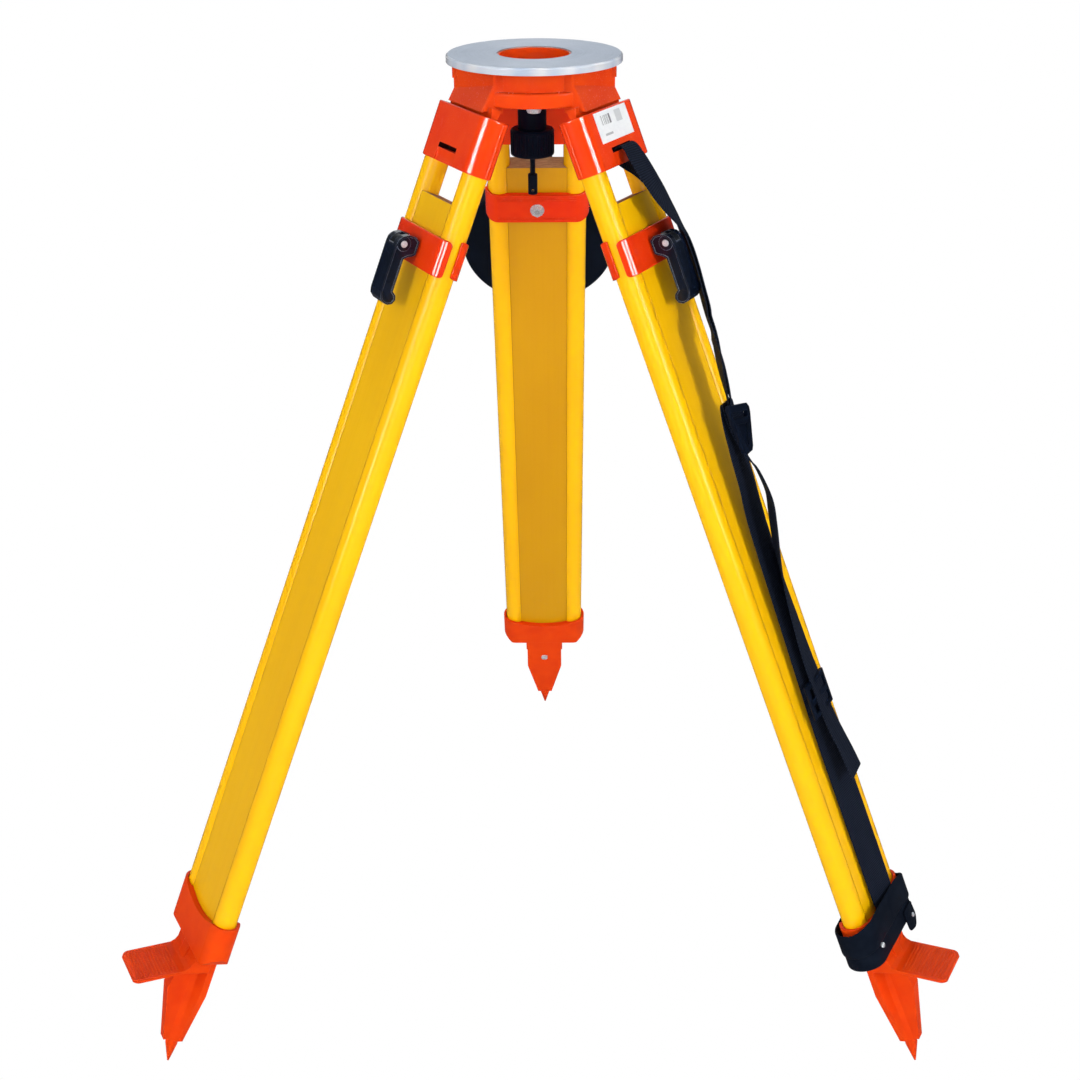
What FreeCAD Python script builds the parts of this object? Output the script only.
import FreeCAD, Part
import os
import math

# Surveyor tripod: flat-topped head, three legs, cam-lever clamps, pointed shoes.
# Millimetres, +Z up, +Y to the back leg, origin at the centre of the instrument face.
# Each leg piece is drawn once in the leg's own frame (X outward from the leg, Y across it,
# Z up along it, zero at the point of the shoe) and then placed at three azimuths.

Vec = FreeCAD.Vector
os.makedirs("parts", exist_ok=True)

# ---- shared dimensions ------------------------------------------------------
HEIGHT = 968.7            # instrument face above the shoe points
FOOT_R = 438.6            # shoe points' radius from the centre line
LEAN = 22.77              # leg angle from vertical, degrees
AZIMUTHS = {"back": 90.0, "left": 210.0, "right": 330.0}
SIDES = (-1, 1)
RUN = 0.04                # running clearance on radius
FLAT = 1e-6               # an edge shorter than this along an axis lies square to it

# hinge between head and leg, in the leg's frame
HINGE_X, HINGE_Z = 9.4, 980.0
AXLE_R = 4.0
AXLE_HALF = 47.6
BUSH_R = 5.96

# the same hinge in the head's frame, for a leg along +X
LEAN_RAD = math.radians(LEAN)
HEAD_HINGE_X = FOOT_R - HINGE_Z * math.sin(LEAN_RAD) + HINGE_X * math.cos(LEAN_RAD)
HEAD_HINGE_Z = -HEIGHT + HINGE_Z * math.cos(LEAN_RAD) + HINGE_X * math.sin(LEAN_RAD)


# ---- helpers ----------------------------------------------------------------
def box(x0, x1, y0, y1, z0, z1):
    return Part.makeBox(x1 - x0, y1 - y0, z1 - z0, Vec(x0, y0, z0))


def rod_z(radius, x, y, z0, z1):
    return Part.makeCylinder(radius, z1 - z0, Vec(x, y, z0), Vec(0, 0, 1))


def rod_y(radius, x, z, y0, y1):
    return Part.makeCylinder(radius, y1 - y0, Vec(x, y0, z), Vec(0, 1, 0))


def rod_x(radius, y, z, x0, x1):
    return Part.makeCylinder(radius, x1 - x0, Vec(x0, y, z), Vec(1, 0, 0))


def closed_wire(points):
    return Part.makePolygon(points + points[:1])


def prism_y(xz_points, y0, y1):
    wire = closed_wire([Vec(x, y0, z) for x, z in xz_points])
    return Part.Face(wire).extrude(Vec(0, y1 - y0, 0))


def prism_x(yz_points, x0, x1):
    wire = closed_wire([Vec(x0, y, z) for y, z in yz_points])
    return Part.Face(wire).extrude(Vec(x1 - x0, 0, 0))


def prism_z(xy_points, z0, z1):
    wire = closed_wire([Vec(x, y, z0) for x, y in xy_points])
    return Part.Face(wire).extrude(Vec(0, 0, z1 - z0))


def level_edges(shape):
    return [e for e in shape.Edges if e.BoundBox.ZLength < FLAT]


def edges_at_x(shape, x):
    return [e for e in shape.Edges
            if abs(e.BoundBox.XMin - x) < FLAT and e.BoundBox.XLength < FLAT]


def stadium(x, half_pitch, radius, z0, z1, rounding=0.0):
    """Racetrack outline round (x, +-half_pitch), its rims optionally rounded."""
    shape = box(x - radius, x + radius, -half_pitch, half_pitch, z0, z1)
    shape = shape.fuse(rod_z(radius, x, half_pitch, z0, z1))
    shape = shape.fuse(rod_z(radius, x, -half_pitch, z0, z1)).removeSplitter()
    if rounding:
        rims = [e for e in shape.Edges
                if any(all(abs(v.Z - z) < FLAT for v in e.Vertexes) for z in (z0, z1))]
        shape = shape.makeFillet(rounding, rims)
    return shape


def side_span(side, near, far):
    """Ordered y limits of a span on the -Y or +Y side."""
    return sorted((side * near, side * far))


def turn(shape, azimuth):
    """Turn a head piece drawn along +X to a leg's azimuth."""
    shape.Placement = FreeCAD.Placement(Vec(0, 0, 0), FreeCAD.Rotation(Vec(0, 0, 1), azimuth))
    return shape


def place(shape, leg_name):
    """Copy a shape from the leg's frame into the tripod's."""
    placed = shape.copy()
    tilt = FreeCAD.Placement(Vec(FOOT_R, 0, -HEIGHT), FreeCAD.Rotation(Vec(0, 1, 0), -LEAN))
    spin = FreeCAD.Placement(Vec(0, 0, 0), FreeCAD.Rotation(Vec(0, 0, 1), AZIMUTHS[leg_name]))
    placed.Placement = spin.multiply(tilt).multiply(placed.Placement)
    return placed


def save(name, shape):
    pieces = shape.Solids
    assert pieces, name
    for piece in pieces:
        assert piece.isValid() and piece.Volume > 0, name
    result = pieces[0] if len(pieces) == 1 else Part.makeCompound(pieces)
    result.exportStep("parts/" + name + ".step")


# ---- head -------------------------------------------------------------------
PLATE_R = 79.0
PLATE_T = 6.6
OPENING_R = 33.0
CAST_TOP = -PLATE_T - 0.02
WALL_R, LIP_R, CORE_R = 59.5, 67.0, 31.6
LIP_INNER_R = 61.5

SCREW_CIRCLE_R = 48.0
SCREW_ANGLES = (10.0, 130.0, 250.0)
SCREW_XY = [(SCREW_CIRCLE_R * math.cos(math.radians(a)),
             SCREW_CIRCLE_R * math.sin(math.radians(a))) for a in SCREW_ANGLES]
SCREW_SEAT_Z = -23.0

LOBE_HALF = 33.0
LOBE_BEVEL = 1.2
LOBE_BOTTOM = -43.0
LOBE_TOE_X, LOBE_TOE_Z = 71.5, -41.0      # outer end of the sloping face
SLOPE_X, SLOPE = 47.6, 0.585              # sloping face: x = SLOPE_X - SLOPE * z
FRONT_WALL, REAR_WALL = 58.2, 65.1
# wall distance at the -Y and +Y ends of each lobe, before it is turned
LOBE_WALLS = {"left": (REAR_WALL, FRONT_WALL), "right": (FRONT_WALL, REAR_WALL),
              "back": (REAR_WALL, REAR_WALL)}
BOSS_SIDES = {"left": -1.0, "right": 1.0}  # rear end of each front lobe

KNUCKLE_R = 10.4
KNUCKLE_HALF = 39.4
FORK_SWEEP_R = 21.5       # room for the leg's bracket round the hinge
WEB_R0, WEB_R1 = 8.0, 25.5
WEB_ANGLES = (-31.0, -9.0)  # from +Z about the hinge, degrees

PIVOT_Y = -50.0           # swing arm pivot, on x = 0
PIVOT_R = 4.0


def head_plate():
    plate = Part.makeCylinder(PLATE_R, PLATE_T, Vec(0, 0, -PLATE_T))
    top = [e for e in plate.Edges
           if all(abs(v.Z) < FLAT for v in e.Vertexes) and e.Length > 100]
    plate = plate.makeChamfer(1.6, top[:1])
    plate = plate.cut(rod_z(OPENING_R, 0, 0, -PLATE_T - 1, 1))
    mouth = [e for e in plate.Edges
             if abs(e.BoundBox.ZMin) < FLAT and abs(e.BoundBox.XMax - OPENING_R) < 0.01]
    # guards against the opening's rim not being found
    if mouth:
        plate = plate.makeChamfer(0.5, mouth[:1])
    for x, y in SCREW_XY:
        plate = plate.cut(rod_z(2.54, x, y, -9, -3.0))
    return plate


def casting_lip():
    """Downturned rim round the swing arm, interrupted by the three lobes."""
    lip = rod_z(LIP_R, 0, 0, -37.3, -24.4)
    lip = lip.makeFillet(1.6, level_edges(lip))
    lip = lip.cut(rod_z(LIP_INNER_R, 0, 0, -40.0, -30.0))
    gap_half = LOBE_HALF - 0.5
    for azimuth in AZIMUTHS.values():
        lip = lip.cut(turn(box(50.0, 90.0, -gap_half, gap_half, -40.0, -20.0), azimuth))
    return lip


def lobe_section(y, wall, inset):
    """Vertical wall above, sloping face below, drawn in by inset to bevel the ends."""
    wall_x = wall - inset
    toe_x = LOBE_TOE_X - inset
    knee_z = (SLOPE_X - 1.15 * inset - wall_x) / SLOPE
    points = [(34.0, CAST_TOP), (wall_x, CAST_TOP), (wall_x, knee_z), (toe_x, LOBE_TOE_Z),
              (toe_x, LOBE_BOTTOM), (50.0, LOBE_BOTTOM), (50.0, -30.0), (34.0, -30.0)]
    return closed_wire([Vec(x, y, z) for x, z in points])


def about_hinge(radius, degrees):
    angle = math.radians(degrees)
    return (HEAD_HINGE_X + radius * math.sin(angle), HEAD_HINGE_Z + radius * math.cos(angle))


def hinge_rod(radius, y0, y1):
    return rod_y(radius, HEAD_HINGE_X, HEAD_HINGE_Z, y0, y1)


def head_lobe(name):
    wall0, wall1 = LOBE_WALLS[name]
    sections = []
    for y, inset in ((-LOBE_HALF, LOBE_BEVEL), (-LOBE_HALF + LOBE_BEVEL, 0.0),
                     (LOBE_HALF - LOBE_BEVEL, 0.0), (LOBE_HALF, LOBE_BEVEL)):
        wall = wall0 + (wall1 - wall0) * (y + LOBE_HALF) / (2 * LOBE_HALF)
        sections.append(lobe_section(y, wall, inset))
    lobe = Part.makeLoft(sections, True, True)
    if name in BOSS_SIDES:
        lobe = lobe.fuse(rod_z(2.8, 64.4, BOSS_SIDES[name] * 29.6, -20.5, CAST_TOP))
    lobe = lobe.cut(hinge_rod(FORK_SWEEP_R, -60, 60))
    start, end = WEB_ANGLES
    web = prism_y([about_hinge(WEB_R0, start), about_hinge(WEB_R1, start),
                   about_hinge(WEB_R1, end), about_hinge(WEB_R0, end)],
                  -KNUCKLE_HALF, KNUCKLE_HALF)
    lobe = lobe.fuse(hinge_rod(KNUCKLE_R, -KNUCKLE_HALF, KNUCKLE_HALF)).fuse(web)
    lobe = lobe.cut(hinge_rod(AXLE_R + RUN, -60, 60))
    for side in SIDES:
        lobe = lobe.cut(hinge_rod(BUSH_R + RUN, *side_span(side, 27.0, 60.0)))
    return turn(lobe, AZIMUTHS[name])


def head_casting():
    body = rod_z(WALL_R, 0, 0, -26.0, CAST_TOP)
    body = body.fuse(rod_z(32.9, 0, 0, -10.0, -1.0)).fuse(casting_lip())
    for name in AZIMUTHS:
        body = body.fuse(head_lobe(name))
    body = body.cut(rod_z(CORE_R, 0, 0, -60, 1))
    for x, y in SCREW_XY:
        body = body.cut(rod_z(2.6, x, y, -40, 0)).cut(rod_z(4.8, x, y, -40, SCREW_SEAT_Z))
    return body.cut(rod_z(PIVOT_R + RUN, 0, PIVOT_Y, -31, -19.5)).removeSplitter()


def plate_screws():
    screws = []
    for x, y in SCREW_XY:
        screw = rod_z(2.5, x, y, SCREW_SEAT_Z, -3.2).fuse(rod_z(4.4, x, y, -27.5, SCREW_SEAT_Z))
        screws.append(screw.cut(rod_z(1.9, x, y, -28, -25.0)).removeSplitter())
    return Part.makeCompound(screws)


def hinge_bushes():
    bushes = []
    for azimuth in AZIMUTHS.values():
        for side in SIDES:
            y0, y1 = side_span(side, 27.2, 39.3)
            bush = hinge_rod(BUSH_R, y0, y1).cut(hinge_rod(AXLE_R + RUN, y0 - 1, y1 + 1))
            bushes.append(turn(bush, azimuth))
    return Part.makeCompound(bushes)


save("head_plate", head_plate())
save("head_casting", head_casting())
save("plate_screws", plate_screws())
save("hinge_bushes", hinge_bushes())

# ---- swing arm and fixing screw under the head ------------------------------
ARM_REST = 2.87           # degrees the swing arm stands off the centre line
ARM_Z0, ARM_Z1 = -37.0, -31.0
ARM_HALF = 15.0
ARM_TIP_R = 10.0
TAPER_Y = -26.0
STUD_R = 7.9375           # 5/8 inch fixing screw
STUD_TOP = -12.0
SLEEVE_R = 13.0
KNOB_R = 20.0
FLUTES = 24


def swing(shape):
    turned = shape.copy()
    turned.rotate(Vec(0, PIVOT_Y, 0), Vec(0, 0, 1), ARM_REST)
    return turned


def swing_arm():
    taper = [(-ARM_TIP_R, PIVOT_Y), (ARM_TIP_R, PIVOT_Y), (ARM_HALF, TAPER_Y), (-ARM_HALF, TAPER_Y)]
    arm = box(-ARM_HALF, ARM_HALF, TAPER_Y, 38, ARM_Z0, ARM_Z1)
    arm = arm.fuse(prism_z(taper, ARM_Z0, ARM_Z1))
    arm = arm.fuse(rod_z(ARM_TIP_R, 0, PIVOT_Y, ARM_Z0, ARM_Z1))
    arm = arm.cut(stadium(0, 13, 10.1, -40, -28))
    return arm.cut(rod_z(PIVOT_R + RUN, 0, PIVOT_Y, -40, -28)).removeSplitter()


def arm_pivot_bolt():
    nut_r, dome_z = 6.6, -39.6
    bolt = rod_z(PIVOT_R, 0, PIVOT_Y, -37.4, -20.0)
    nut = rod_z(nut_r, 0, PIVOT_Y, -40.2, -37.4)
    dome = Part.makeSphere(nut_r, Vec(0, PIVOT_Y, dome_z))
    dome = dome.common(box(-8, 8, PIVOT_Y - 8, PIVOT_Y + 8, -43.2, dome_z))
    return bolt.fuse(nut).fuse(dome).removeSplitter()


def screw_sleeve():
    sleeve = rod_z(SLEEVE_R, 0, 0, -70.0, -37.3).fuse(rod_z(10.0, 0, 0, -38.0, -30.0))
    sleeve = sleeve.fuse(rod_z(13.2, 0, 0, -30.7, -28.2))
    return sleeve.cut(rod_z(STUD_R + RUN + 0.02, 0, 0, -80, -20)).removeSplitter()


def fixing_screw():
    stud = rod_z(STUD_R, 0, 0, -93.0, STUD_TOP)
    rim = [e for e in stud.Edges if abs(e.BoundBox.ZMin - STUD_TOP) < 1e-3
           and abs(e.BoundBox.ZMax - STUD_TOP) < 1e-3]
    return stud.makeChamfer(1.2, rim).cut(rod_z(2.5, 0, 0, -94, -87.0))


def fluted_knob():
    knob = rod_z(KNOB_R, 0, 0, -92.0, -67.2)
    knob = knob.makeFillet(2.6, level_edges(knob))
    flute_circle_r = KNOB_R + 0.35
    for i in range(FLUTES):
        angle = math.radians(360.0 / FLUTES * i)
        knob = knob.cut(rod_z(1.1, flute_circle_r * math.cos(angle),
                              flute_circle_r * math.sin(angle), -88.5, -70.7))
    knob = knob.cut(rod_z(SLEEVE_R + 0.4, 0, 0, -89.0, -60.0))
    return knob.cut(rod_z(STUD_R + RUN, 0, 0, -100, -60)).removeSplitter()


def thrust_washer():
    return rod_z(12.4, 0, 0, -88.8, -87.2).cut(rod_z(STUD_R + 0.08, 0, 0, -90, -86))


def plumb_hook():
    shank = rod_z(2.45, 0, 0, -94.0, -87.2).fuse(rod_z(2.4, 0, 0, -110.0, -93.5))
    barrel = rod_z(4.3, 0, 0, -128.6, -109.4)
    barrel = barrel.makeFillet(0.8, level_edges(barrel))
    return shank.fuse(barrel).cut(rod_y(1.4, 0, -124.5, -10, 10)).removeSplitter()


save("swing_arm", swing(swing_arm()))
save("arm_pivot_bolt", arm_pivot_bolt())
save("screw_sleeve", swing(screw_sleeve()))
save("fixing_screw", swing(fixing_screw()))
save("knob", swing(fluted_knob()))
save("thrust_washer", swing(thrust_washer()))
save("plumb_hook", swing(plumb_hook()))

# ---- leg: poles, panel and upper bracket ------------------------------------
POLE_R = 11.5
POLE_X, POLE_Y = 9.4, 37.5
POLE_Z0, POLE_Z1 = 172.0, 967.5
PANEL_X0, PANEL_X1 = 0.4, 18.4
PANEL_HALF = 30.4
PANEL_Z0, PANEL_Z1 = 150.5, 915.0
GROOVE_R = 11.8

CLAMP_Z = 868.0           # bolt height along the leg
BOLT_HOLE_R = 3.3

BRACKET_Z0, BRACKET_Z1 = 945.5, 996.5
BRACKET_R = 14.3
BRACKET_X, BRACKET_Y = 9.5, 37.2
BRACKET_FACE_X = BRACKET_X + BRACKET_R
SLOT_HALF = 17.3
SLOT_Z0, SLOT_Z1 = 957.5, 962.0
LINE_ANGLES = (-14.0, -30.0)


def cut_poles(shape, radius, z0, z1):
    for side in SIDES:
        shape = shape.cut(rod_z(radius, POLE_X, side * POLE_Y, z0, z1))
    return shape


def leg_poles():
    poles = []
    for side in (1, -1):
        pole = rod_z(POLE_R, POLE_X, side * POLE_Y, POLE_Z0, POLE_Z1)
        poles.append(pole.makeChamfer(0.8, level_edges(pole)))
    return Part.makeCompound(poles)


def leg_panel():
    panel = box(PANEL_X0, PANEL_X1, -PANEL_HALF, PANEL_HALF, PANEL_Z0, PANEL_Z1)
    panel = cut_poles(panel, GROOVE_R, PANEL_Z0 - 1, PANEL_Z1 + 1)
    return panel.cut(rod_x(BOLT_HOLE_R, 0, CLAMP_Z, -5, 30))


def leg_bracket():
    """Pole sockets below, fork for the head's knuckle above."""
    bracket = stadium(BRACKET_X, BRACKET_Y, BRACKET_R, BRACKET_Z0, BRACKET_Z1, 1.4)
    bracket = bracket.cut(box(-1.5, 20.3, -40.0, 40.0, 966.0, 1010.0))
    bracket = cut_poles(bracket, POLE_R + 0.05, 940.0, 967.7)
    bracket = bracket.cut(rod_y(AXLE_R + RUN, HINGE_X, HINGE_Z, -48.0, 48.0))
    # slot through the outer face, open downward behind it, with a scoop below
    bracket = bracket.cut(box(12.0, 40.0, -SLOT_HALF, SLOT_HALF, SLOT_Z0, SLOT_Z1))
    bracket = bracket.cut(box(12.0, 19.0, -SLOT_HALF, SLOT_HALF, 940.0, SLOT_Z1))
    scoop = rod_y(30.0, BRACKET_FACE_X + 28.2, 949.5, -SLOT_HALF, SLOT_HALF)
    scoop = scoop.common(box(10, 40, -SLOT_HALF, SLOT_HALF, 940.0, SLOT_Z0))
    bracket = bracket.cut(scoop)
    # two fine raised lines down each rounded end
    line_r = BRACKET_R + 0.05
    for side in SIDES:
        for degrees in LINE_ANGLES:
            x = BRACKET_X + line_r * math.sin(math.radians(degrees))
            y = side * (BRACKET_Y + line_r * math.cos(math.radians(degrees)))
            bracket = bracket.fuse(rod_z(0.75, x, y, BRACKET_Z0 + 1.6, BRACKET_Z1 - 1.6))
    return bracket.removeSplitter()


# ---- leg: clamp -------------------------------------------------------------
BAND_Y, BAND_R = 37.4, 14.6
BAND_X = 15.6             # inward edge of the outer band
BAND_Z0, BAND_Z1 = 851.8, 885.3
BAND_CORNER_R = 4.0
BAND_POLE_GAP = 0.3
BAND_PANEL_GAP = 0.1
PIN_X = 40.2
PIN_R = 3.0               # lever pin and clamp bolt
LEVER_HALF = 11.0

# inner band seen along X: (y, z)
INNER_BAND = [
    (-53, 886.6), (-51.0, 888.2), (-44.5, 885.4), (44.5, 885.4), (51.0, 888.2),
    (53, 886.6), (53, 862), (51.5, 857.0), (48.0, 853.6), (43, 852.4),
    (-43, 852.4), (-48.0, 853.6), (-51.5, 857.0), (-53, 862)]
GROOVE_ZS = (855.4, 858.0, 879.6, 882.2)

# lever seen along Y: (x, z)
LEVER = [
    (26.06, 861.4), (26.06, 873.6), (31.0, 876.8), (38.0, 876.8), (43.2, 874.2),
    (46.6, 869.8), (47.7, 864.0), (47.7, 822.0), (46.0, 816.0), (42.0, 812.4),
    (37.5, 811.6), (33.2, 813.4), (31.2, 817.5), (32.4, 821.5), (36.2, 824.5),
    (36.2, 855.0), (33.0, 857.6), (29.0, 859.2)]


def band_void(x0, x1):
    """Space taken by the panel and both poles inside a clamp band."""
    void = box(x0, x1, -PANEL_HALF, PANEL_HALF, 840, 900)
    for side in SIDES:
        void = void.fuse(rod_z(POLE_R + BAND_POLE_GAP, POLE_X, side * POLE_Y, 840, 900))
    return void


def clamp_outer():
    band = stadium(POLE_X, BAND_Y, BAND_R, BAND_Z0, BAND_Z1, 1.2)
    band = band.common(box(BAND_X, 30.0, -60, 60, 845, 900))
    # round the four corners where the band ends against the poles
    corner_x = BAND_X + BAND_CORNER_R
    for side in SIDES:
        for z, centre_z in ((BAND_Z0, BAND_Z0 + BAND_CORNER_R),
                            (BAND_Z1, BAND_Z1 - BAND_CORNER_R)):
            corner = box(BAND_X - 1, corner_x, -10, 10, min(z, centre_z), max(z, centre_z))
            corner = corner.cut(rod_y(BAND_CORNER_R, corner_x, centre_z, -11, 11))
            corner.translate(Vec(0, side * 50.0, 0))
            band = band.cut(corner)
    band = band.cut(band_void(-10, PANEL_X1 + BAND_PANEL_GAP))
    return band.cut(rod_x(BOLT_HOLE_R, 0, CLAMP_Z, 0, 40)).removeSplitter()


def clamp_inner():
    band = stadium(POLE_X, BAND_Y, BAND_R, 845.0, 902.0).common(prism_x(INNER_BAND, -10, 7.6))
    band = band.cut(band_void(PANEL_X0 - BAND_PANEL_GAP, 40))
    band = band.cut(rod_x(BOLT_HOLE_R, 0, CLAMP_Z, -20, 40))
    for z in GROOVE_ZS:
        band = band.cut(box(-10, -4.8, -39, 39, z - 0.45, z + 0.45))
    return band.removeSplitter()


def clamp_bolt():
    bolt = rod_x(PIN_R, 0, CLAMP_Z, -8.6, 36.0).fuse(rod_y(6.4, PIN_X, CLAMP_Z, -4.0, 4.0))
    return bolt.cut(rod_y(PIN_R + RUN, PIN_X, CLAMP_Z, -10, 10)).removeSplitter()


def clamp_nut():
    hex_r, flange_x = 6.0, -6.3
    angles = [math.radians(30 + 60 * i) for i in range(6)]
    hexagon = [(hex_r * math.cos(a), CLAMP_Z + hex_r * math.sin(a)) for a in angles]
    nut = prism_x(hexagon, -9.6, flange_x).fuse(rod_x(7.0, 0, CLAMP_Z, flange_x, -5.25))
    return nut.cut(rod_x(PIN_R + RUN, 0, CLAMP_Z, -20, 0)).removeSplitter()


def lever_recess(inset, y0, y1):
    wire = closed_wire([Vec(x, y0, z) for x, z in LEVER])
    wire = wire.makeOffset2D(-inset, 0, False, False, False)
    return Part.Face(wire).extrude(Vec(0, y1 - y0, 0))


def clamp_lever():
    lever = prism_y(LEVER, -LEVER_HALF, LEVER_HALF)
    # round the two long edges of the outward face
    long_edges = [e for e in lever.Edges if e.BoundBox.YLength < FLAT
                  and e.BoundBox.XMin > 46.0 and e.BoundBox.ZLength > 20]
    lever = lever.makeFillet(1.2, long_edges)
    # shallow recess in each side, with a round boss about the pin
    for side in SIDES:
        y0, y1 = side_span(side, LEVER_HALF - 0.8, LEVER_HALF + 1)
        lever = lever.cut(lever_recess(1.5, y0, y1))
        y0, y1 = side_span(side, LEVER_HALF - 1.0, LEVER_HALF - 0.2)
        lever = lever.fuse(rod_y(6.6, PIN_X, CLAMP_Z, y0, y1))
    lever = lever.cut(box(0, PIN_X + 7.0, -4.3, 4.3, CLAMP_Z - 11.5, CLAMP_Z + 20.0))
    return lever.cut(rod_y(PIN_R + RUN, PIN_X, CLAMP_Z, -20, 20)).removeSplitter()


# ---- leg: shoe with collar, tee-section spike and ribbed foot step ----------
SHOE_X, SHOE_Y = 9.2, 37.6
SHOE_SCREW_Z = 113.0
TIP_X = 3.4               # axis of the point's peg
STEP_HALF = 24.0
RIB_COUNT, RIB_PITCH, FIRST_RIB_X = 13, 3.1, 33.0

# collar seen along X: (y, z)
COLLAR = [(-60, 212), (60, 212), (60, 156), (53.5, 156), (43, 144.5),
          (-43, 144.5), (-53.5, 156), (-60, 156)]
# spike stations: z, flange half width, stem end x, stem half width, flange x from, to
SPIKE = [(148.0, 22.5, 20.5, 6.5, -5.8, 1.0),
         (92.0, 22.7, 29.5, 6.5, -5.6, 1.2),
         (29.0, 9.3, 15.0, 4.6, -4.0, 1.4)]
# point stations: radius, x, z
POINT = [(6.4, 3.4, 28.9), (6.2, 2.8, 21.5), (0.9, 0.0, 0.0)]


def panel_pocket():
    return box(PANEL_X0 - 0.2, PANEL_X1 + 0.2, -PANEL_HALF - 0.2, PANEL_HALF + 0.2,
               PANEL_Z0 - 0.4, 230)


def loft_stations(section, stations):
    """Straight lofts between neighbouring stations, fused."""
    first, middle, last = stations
    upper = Part.makeLoft([section(*first), section(*middle)], True, True)
    return upper.fuse(Part.makeLoft([section(*middle), section(*last)], True, True))


def tee_section(z, width, stem_x, stem, x0, x1):
    half = [(x0, -width), (x1, -width), (x1 + 3.0, -stem - 3.0), (x1 + 8.0, -stem),
            (stem_x, -stem)]
    points = half + [(x, -y) for x, y in reversed(half)]
    return closed_wire([Vec(x, y, z) for x, y in points])


def circle_section(radius, x, z):
    return Part.Wire(Part.makeCircle(radius, Vec(x, 0, z), Vec(0, 0, 1)))


def step_top(x):
    return 125.7 - 0.23 * (x - 20.4)


def shoe_collar():
    collar = stadium(SHOE_X, SHOE_Y, 15.1, 144.5, 189.0).common(prism_x(COLLAR, -20, 40))
    collar = collar.cut(rod_x(98.0, 0, 180.5 + 98.0, -20, 40)).cut(panel_pocket())
    return cut_poles(collar, POLE_R + 0.8, 170.6, 230)


def foot_step():
    """Thin step plate, with a block that carries it up to the collar."""
    step = prism_y([(1.0, 147.0), (19.6, 147.0), (20.6, 131.5), (22.6, 127.4),
                    (26.5, step_top(26.5)), (74.8, step_top(74.8)),
                    (74.8, step_top(74.8) - 3.0), (27.0, step_top(27.0) - 3.2),
                    (1.0, 120.5)], -STEP_HALF, STEP_HALF)
    plan = box(0, 75.2, -STEP_HALF, STEP_HALF, 90, 150)
    corners = [e for e in plan.Edges if e.BoundBox.ZLength > 10 and e.BoundBox.XMin > 70]
    return step.common(plan.makeFillet(7.0, corners))


def step_ribs():
    ribs = []
    for i in range(RIB_COUNT):
        x = FIRST_RIB_X + RIB_PITCH * i
        z = step_top(x)
        ribs.append(prism_y([(x - 0.75, z - 0.6), (x + 0.75, z - 0.6),
                             (x + 0.5, z + 0.75), (x - 0.5, z + 0.85)], -20.5, 20.5))
    fused = ribs[0]
    for rib in ribs[1:]:
        fused = fused.fuse(rib)
    return fused


def leg_shoe():
    shoe = shoe_collar().fuse(loft_stations(tee_section, SPIKE))
    shoe = shoe.fuse(foot_step()).fuse(step_ribs()).cut(panel_pocket())
    shoe = shoe.cut(rod_z(3.6, TIP_X, 0, 20, 52))
    return shoe.cut(rod_x(2.06, 0, SHOE_SCREW_Z, -10, 14.2)).removeSplitter()


def shoe_point():
    point = loft_stations(circle_section, POINT)
    return point.fuse(rod_z(3.5, TIP_X, 0, 28.0, 51.0)).removeSplitter()


def shoe_screw():
    screw = rod_x(2.0, 0, SHOE_SCREW_Z, -6.5, 14.0)
    screw = screw.fuse(rod_x(4.2, 0, SHOE_SCREW_Z, -7.9, -5.95))
    return screw.cut(box(-9, -7.2, -0.5, 0.5, 105, 120)).removeSplitter()


LEG_PIECES = {
    "poles": leg_poles(),
    "panel": leg_panel(),
    "bracket": leg_bracket(),
    "hinge_axle": rod_y(AXLE_R, HINGE_X, HINGE_Z, -AXLE_HALF, AXLE_HALF),
    "clamp_outer": clamp_outer(),
    "clamp_inner": clamp_inner(),
    "clamp_bolt": clamp_bolt(),
    "clamp_nut": clamp_nut(),
    "clamp_lever": clamp_lever(),
    "lever_pin": rod_y(PIN_R, PIN_X, CLAMP_Z, -LEVER_HALF - 0.5, LEVER_HALF + 0.5),
    "shoe": leg_shoe(),
    "shoe_point": shoe_point(),
    "shoe_screw": shoe_screw(),
}
for leg_name in AZIMUTHS:
    for piece_name, piece_shape in LEG_PIECES.items():
        save(piece_name + "_" + leg_name, place(piece_shape, leg_name))

# ---- carrying strap, foot belt and sticker on the right leg -----------------
STRAP_HALF = 17.0
# strap runs seen along Y: (x, z)
STRAP_UPPER = [(25.4, 961.0), (27.4, 961.0), (41.0, 948.0),
               (45.0, 905.0), (43.0, 905.0), (38.5, 947.0)]
STRAP_LOWER = [
    [(46.0, 807.0), (48.0, 807.0), (46.2, 716.0), (44.0, 716.0)],
    [(43.8, 716.2), (46.2, 716.2), (40.8, 656.0), (38.4, 656.0)],
    [(38.5, 656.3), (40.8, 656.3), (31.0, 610.0), (28.5, 440.0),
     (27.9, 168.0), (25.0, 168.0), (25.2, 440.0), (27.5, 612.0)]]
# upper buckle seen along X: (y, z)
BUCKLE = [(-19.5, 709.0), (-17.0, 712.5), (17.5, 703.8), (20.6, 699.5), (20.2, 694.0),
          (10.2, 664.5), (7.0, 661.0), (-5.0, 661.0), (-8.2, 664.0)]
BUCKLE_WINDOW = [(-13.5, 704.6), (14.2, 697.6), (13.2, 692.4), (-13.6, 699.2)]
BUCKLE_RECESS = [(-9.6, 692.0), (8.0, 687.6), (2.0, 668.5), (-4.0, 670.0)]
BUCKLE_FACE_X = 51.2


def strap_lower():
    first, second, third = [prism_y(run, -STRAP_HALF, STRAP_HALF) for run in STRAP_LOWER]
    return first.fuse(second).fuse(third).removeSplitter()


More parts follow.
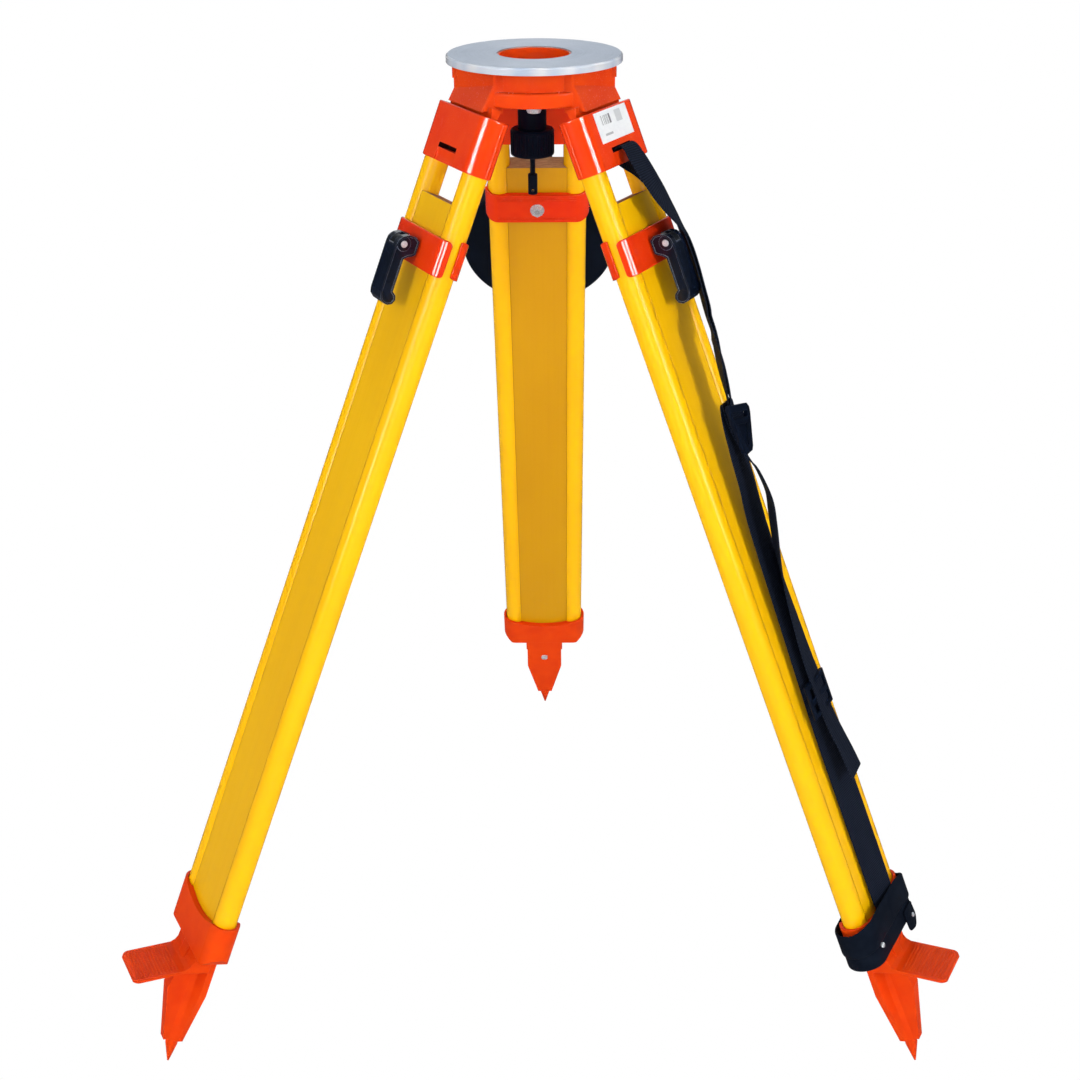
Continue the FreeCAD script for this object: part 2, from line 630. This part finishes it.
def buckle_upper():
    """Tapered plate with a window across its wide end and a recess below."""
    buckle = prism_x(BUCKLE, 47.2, BUCKLE_FACE_X)
    buckle = buckle.makeFillet(0.9, edges_at_x(buckle, BUCKLE_FACE_X))
    buckle = buckle.cut(prism_x(BUCKLE_WINDOW, 40, 60)).cut(prism_x(BUCKLE_RECESS, 49.9, 60))
    buckle.rotate(Vec(49.2, 0, 712.0), Vec(0, 1, 0), 5.6)
    return buckle


def buckle_lower():
    x0, x1, half, z0, z1 = 30.2, 33.8, 21.0, 398.0, 432.0
    buckle = prism_y([(x0, z1), (x1, z1), (x1, z0), (x0, z0)], -half, half)
    buckle = buckle.makeFillet(1.4, [e for e in buckle.Edges if e.BoundBox.YLength < FLAT
                                     and e.BoundBox.ZLength > 10])
    # a window below and above the fixed bar, as fractions of the height
    for low, high in ((0.14, 0.40), (0.56, 0.86)):
        buckle = buckle.cut(box(0, 90, -half + 4, half - 4,
                                z0 + low * (z1 - z0), z0 + high * (z1 - z0)))
    return buckle


def foot_belt():
    return stadium(SHOE_X, SHOE_Y, 21.6, 146.0, 185.0).cut(
        stadium(SHOE_X, SHOE_Y, 19.2, 145.0, 186.0))


def belt_rivet():
    rivet = rod_x(2.6, -39.0, 164.0, 30.95, 33.0)
    return rivet.makeFillet(0.9, edges_at_x(rivet, 33.0))


def side_sticker():
    return box(BRACKET_FACE_X + 0.05, BRACKET_FACE_X + 0.35, -29.0, 29.0, 967.5, 994.8)


save("strap_upper", place(prism_y(STRAP_UPPER, -STRAP_HALF, STRAP_HALF), "right"))
for build in (strap_lower, buckle_upper, buckle_lower, foot_belt, belt_rivet, side_sticker):
    save(build.__name__, place(build(), "right"))

# ---- protective cap hung on the outside of the back leg ---------------------
CAP_R = 80.0
CAP_X, CAP_Z = 50.0, 778.5
CAP_WALL = 2.6
CAP_TOP = CAP_Z + CAP_R


def head_cap():
    cap = rod_x(CAP_R, 0, CAP_Z, CAP_X, CAP_X + 22.0)
    cap = cap.makeFillet(2.0, edges_at_x(cap, CAP_X))
    cap = cap.cut(rod_x(CAP_R - CAP_WALL, 0, CAP_Z, CAP_X + CAP_WALL, CAP_X + 40.0))
    tab = box(CAP_X, CAP_X + 4.0, -21, 21, CAP_TOP - 6.0, CAP_TOP + 9.0)
    tab = tab.cut(box(CAP_X - 5, CAP_X + 10, -16.0, 16.0, CAP_TOP + 1.5, CAP_TOP + 5.0))
    return cap.fuse(tab).removeSplitter()


def cap_strap():
    end_z = CAP_TOP + 10.0
    return prism_y([(27.0, 946.0), (29.0, 946.0), (CAP_X + 3.0, end_z), (CAP_X + 1.0, end_z)],
                   -15.0, 15.0)


save("head_cap", place(head_cap(), "back"))
save("cap_strap", place(cap_strap(), "back"))
